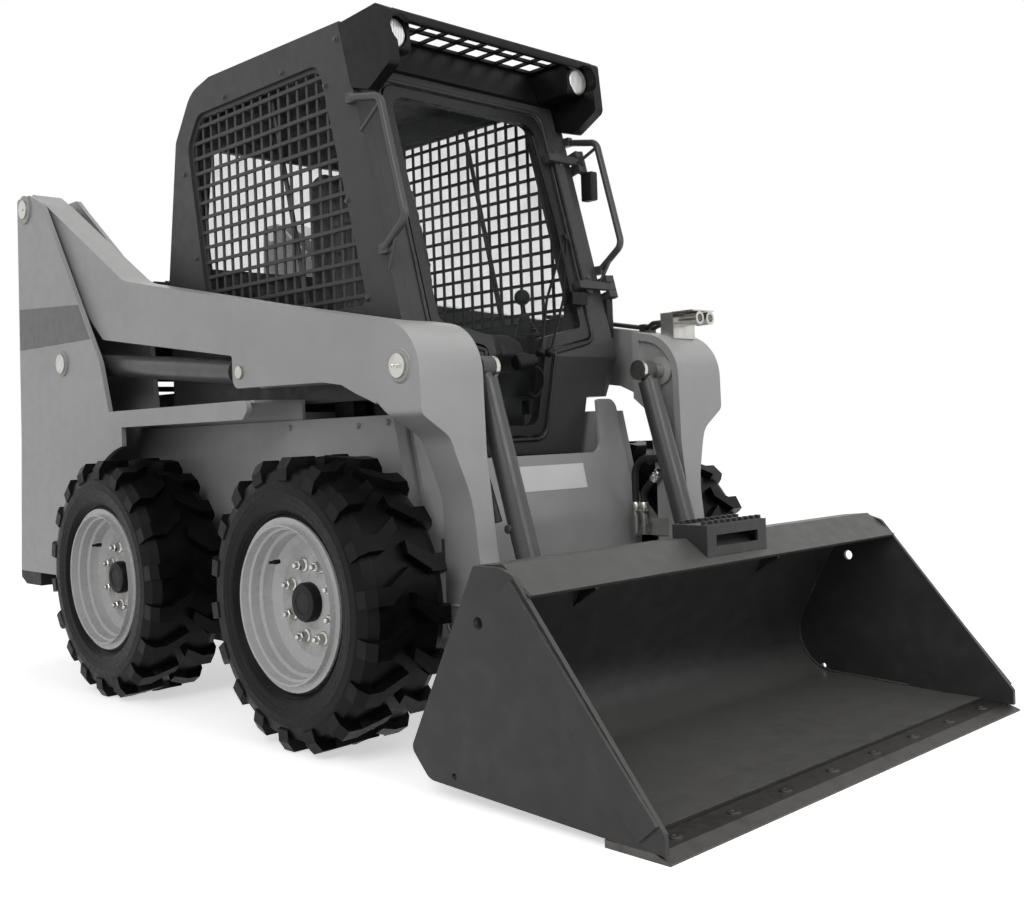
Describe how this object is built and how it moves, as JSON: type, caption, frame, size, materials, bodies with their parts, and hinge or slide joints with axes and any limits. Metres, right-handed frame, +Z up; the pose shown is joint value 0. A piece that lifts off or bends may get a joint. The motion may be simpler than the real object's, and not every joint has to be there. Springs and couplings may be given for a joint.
{
  "type": "skid steer loader",
  "caption": "Radial-lift skid steer loader with an enclosed cab, lift arms, quick hitch and dirt bucket; wheels, arms, bucket, doors and hood move.",
  "frame": {"origin": "on the ground, under the centre of the whole machine's length and width", "axes": "+X forwards towards the bucket, +Y to the machine's left, +Z up"},
  "size_m": [3.25, 1.548, 2],
  "materials": {
    "tyre_rubber": "moulded black rubber",
    "wheel_paint": "light grey enamel",
    "cast_dark": "black paint",
    "body_grey": "light grey enamel",
    "bright_steel": "zinc plate",
    "cab_grey": "dark grey enamel",
    "hose_rubber": "black rubber",
    "edge_steel": "bare steel",
    "cylinder_grey": "dark grey enamel",
    "rod_chrome": "hard chrome",
    "attachment_grey": "dark grey enamel",
    "clear_glass": "clear",
    "black_plastic": "moulded",
    "seat_vinyl": "black vinyl",
    "lamp_glass": "lens"
  },
  "bodies": {
    "chassis": {"wheel_hubs": "cast_dark", "main_frame": "body_grey", "nose_plate": "body_grey", "upright_left": "body_grey", "upright_right": "body_grey", "frame_pins": "bright_steel", "rear_bumper": "cast_dark", "rear_door_hinges": "cab_grey", "hood_hinges": "cab_grey", "engine_block": "cast_dark", "cab_side_left": "cab_grey", "cab_side_right": "cab_grey", "side_glass": "clear_glass", "window_screens": "cab_grey", "cab_rear": "cab_grey", "rear_glass": "clear_glass", "cab_roof": "cab_grey", "cab_front_frame": "cab_grey", "cab_floor": "cab_grey", "seat_base": "black_plastic", "seat_cushion": "seat_vinyl", "seat_back": "seat_vinyl", "control_levers": "black_plastic", "roof_visor": "black_plastic", "work_lamps": "lamp_glass", "grab_handles": "cylinder_grey", "cab_mounts": "black_plastic", "cab_hinges": "cab_grey"},
    "wheel_front_left": {"tyre_front_left": "tyre_rubber", "rim_front_left": "wheel_paint"},
    "wheel_front_right": {"tyre_front_right": "tyre_rubber", "rim_front_right": "wheel_paint"},
    "wheel_rear_left": {"tyre_rear_left": "tyre_rubber", "rim_rear_left": "wheel_paint"},
    "wheel_rear_right": {"tyre_rear_right": "tyre_rubber", "rim_rear_right": "wheel_paint"},
    "lift_arms": {"lift_arm_left": "body_grey", "lift_arm_right": "body_grey", "arm_cross_tube": "body_grey", "arm_pins": "bright_steel", "arm_hoses": "hose_rubber", "hose_fittings": "bright_steel", "arm_couplers": "bright_steel", "arm_lines": "edge_steel"},
    "lift_barrels": {"lift_barrels": "cylinder_grey"},
    "lift_rods": {"lift_rods": "rod_chrome"},
    "tilt_barrels": {"tilt_barrels": "cylinder_grey"},
    "tilt_rods": {"tilt_rods": "rod_chrome"},
    "bucket": {"bucket_shell": "attachment_grey", "cutting_edge": "edge_steel", "quick_hitch": "attachment_grey", "hitch_pins": "bright_steel", "bucket_step": "attachment_grey"},
    "cab_door": {"door_frame": "cab_grey", "door_glass": "clear_glass", "door_hinges": "cab_grey", "wiper": "black_plastic"},
    "rear_door": {"rear_door": "cab_grey"},
    "hood": {"hood": "cab_grey"}
  },
  "joints": [
    {"name": "wheel_front_left_spin", "type": "hinge", "parent": "chassis", "child": "wheel_front_left", "pos_m": [0.393, 0.643, 0.383], "axis": [0, 1, 0], "continuous": true},
    {"name": "wheel_front_right_spin", "type": "hinge", "parent": "chassis", "child": "wheel_front_right", "pos_m": [0.393, -0.643, 0.383], "axis": [0, 1, 0], "continuous": true},
    {"name": "wheel_rear_left_spin", "type": "hinge", "parent": "chassis", "child": "wheel_rear_left", "pos_m": [-0.671, 0.643, 0.383], "axis": [0, 1, 0], "continuous": true},
    {"name": "wheel_rear_right_spin", "type": "hinge", "parent": "chassis", "child": "wheel_rear_right", "pos_m": [-0.671, -0.643, 0.383], "axis": [0, 1, 0], "continuous": true},
    {"name": "lift", "type": "hinge", "parent": "chassis", "child": "lift_arms", "pos_m": [-1.447, 0, 1.703], "axis": [0, -1, 0], "range_deg": [0, 57]},
    {"name": "lift_barrel_swing", "type": "hinge", "parent": "chassis", "child": "lift_barrels", "pos_m": [-1.172, 0, 1.11], "axis": [0, -1, 0], "range_deg": [-0.5, 58.01]},
    {"name": "lift_rod_slide", "type": "slide", "parent": "lift_barrels", "child": "lift_rods", "axis": [0.9961, 0, -0.0882], "range_m": [-0.002, 0.62567]},
    {"name": "bucket_tilt", "type": "hinge", "parent": "lift_arms", "child": "bucket", "pos_m": [0.851, 0, 0.2], "axis": [0, 1, 0], "range_deg": [-28, 95]},
    {"name": "tilt_barrel_swing", "type": "hinge", "parent": "lift_arms", "child": "tilt_barrels", "pos_m": [0.706, 0, 0.98], "axis": [0, 1, 0], "range_deg": [-2.77, 0.82]},
    {"name": "tilt_rod_slide", "type": "slide", "parent": "tilt_barrels", "child": "tilt_rods", "axis": [0.2797, 0, -0.9601], "range_m": [-0.0655, 0.21983]},
    {"name": "cab_door_swing", "type": "hinge", "parent": "chassis", "child": "cab_door", "pos_m": [0.42392, 0.452, 1.475], "axis": [-0.2607, 0, 0.9654], "range_deg": [0, 65]},
    {"name": "rear_door_swing", "type": "hinge", "parent": "chassis", "child": "rear_door", "pos_m": [-1.589, 0.428, 0.7], "axis": [0, 0, -1], "range_deg": [0, 90]},
    {"name": "hood_lift", "type": "hinge", "parent": "chassis", "child": "hood", "pos_m": [-0.843, 0, 1.372], "axis": [0, 1, 0], "range_deg": [0, 55]}
  ],
  "couplings": [
    {"joint": "lift_barrel_swing", "follows": "lift", "ratio": 1.0089},
    {"joint": "lift_rod_slide", "follows": "lift", "m_per_rad": 0.62691},
    {"joint": "tilt_barrel_swing", "follows": "bucket_tilt", "ratio": -0.028578},
    {"joint": "tilt_rod_slide", "follows": "bucket_tilt", "m_per_rad": 0.13198}
  ]
}
